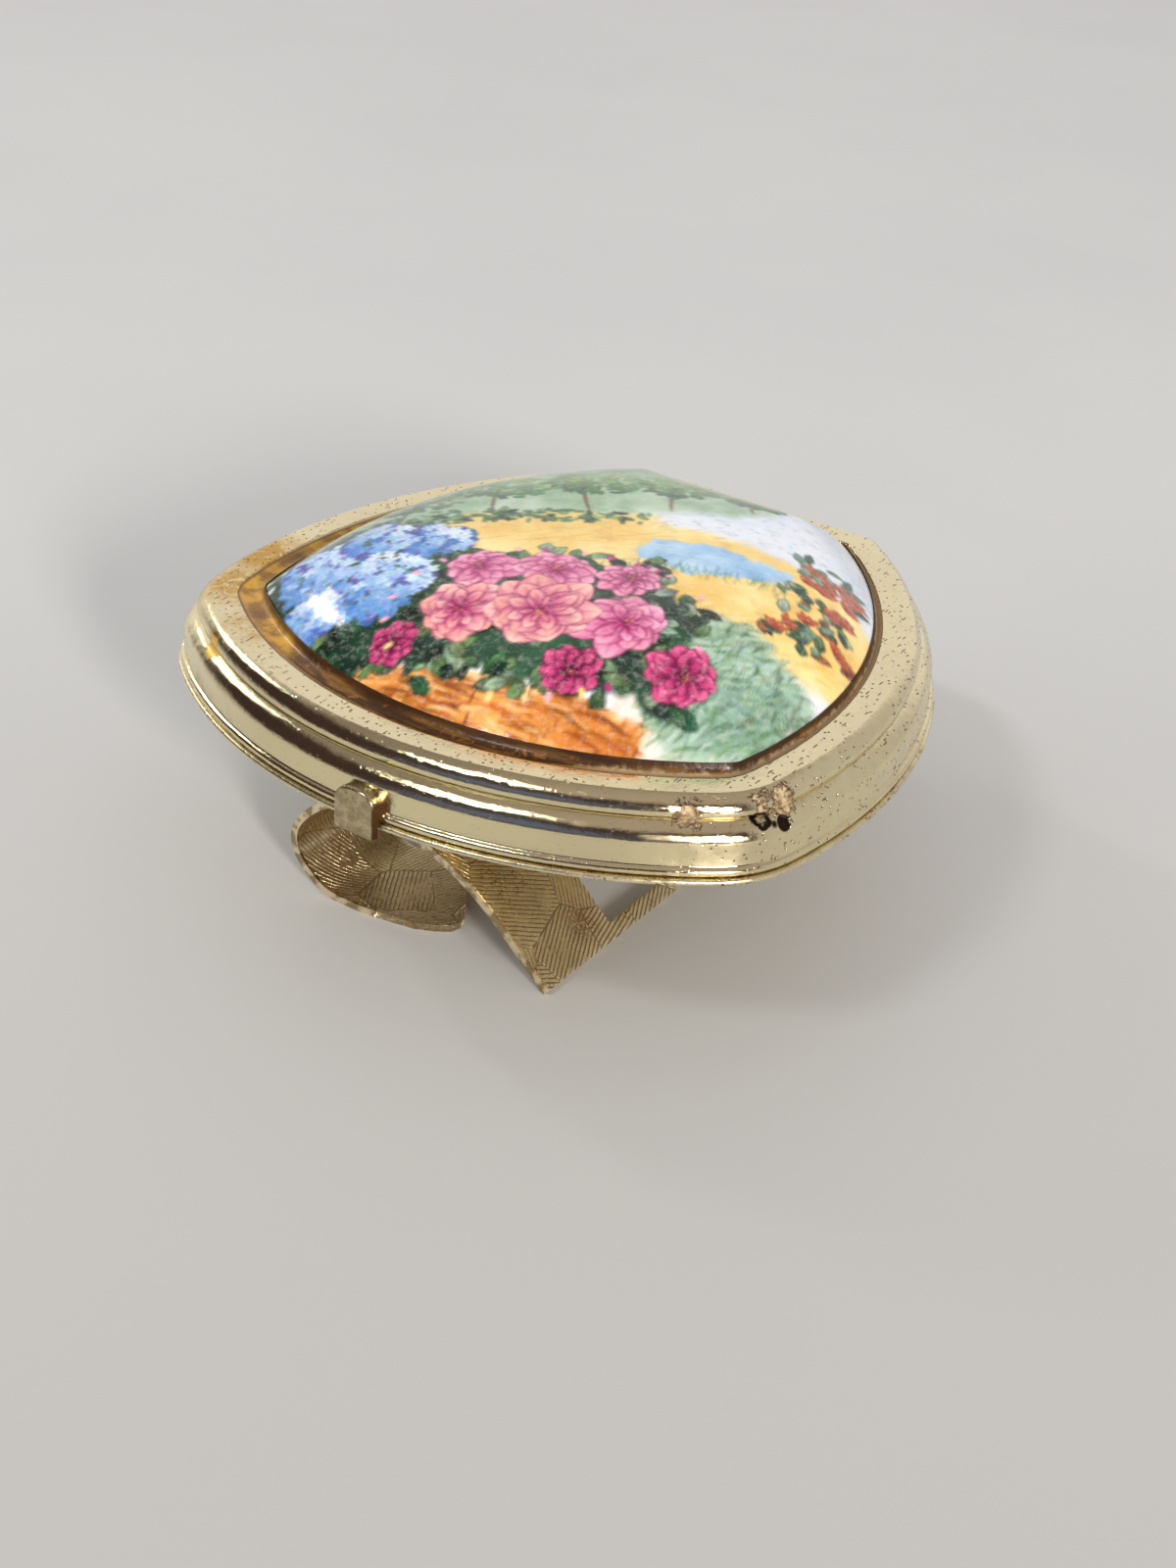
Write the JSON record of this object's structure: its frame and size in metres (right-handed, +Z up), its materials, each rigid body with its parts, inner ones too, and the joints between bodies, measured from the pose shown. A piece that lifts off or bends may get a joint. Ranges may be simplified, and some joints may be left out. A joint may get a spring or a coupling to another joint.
{
  "type": "poison ring",
  "caption": "Cocktail ring with a shield-shaped brass case, a hinged lid set with a domed porcelain plaque in cement, and a pierced, springy open shank.",
  "frame": {"origin": "middle of the overall box on the table that the open shank rests on", "axes": "+X towards the shank's right arm, +Y from the clasp tab to the hinge, along the finger, +Z up through the lid"},
  "size_m": [0.0382, 0.04, 0.018],
  "materials": {
    "shank_brass": "satin, tarnished",
    "lid_brass": "polished, pitted gilding",
    "amber_cement": "gloss",
    "glazed_porcelain": "gloss glaze over a painted picture"
  },
  "bodies": {
    "case": {"base": "shank_brass", "hinge_pin": "shank_brass"},
    "lid": {"lid_frame": "lid_brass", "cement": "amber_cement", "porcelain": "glazed_porcelain"}
  },
  "joints": [
    {"name": "lid_hinge", "type": "hinge", "parent": "case", "child": "lid", "pos_m": [0, 0.01927, 0.01035], "axis": [-1, 0, 0], "range_deg": [0, 100]}
  ]
}
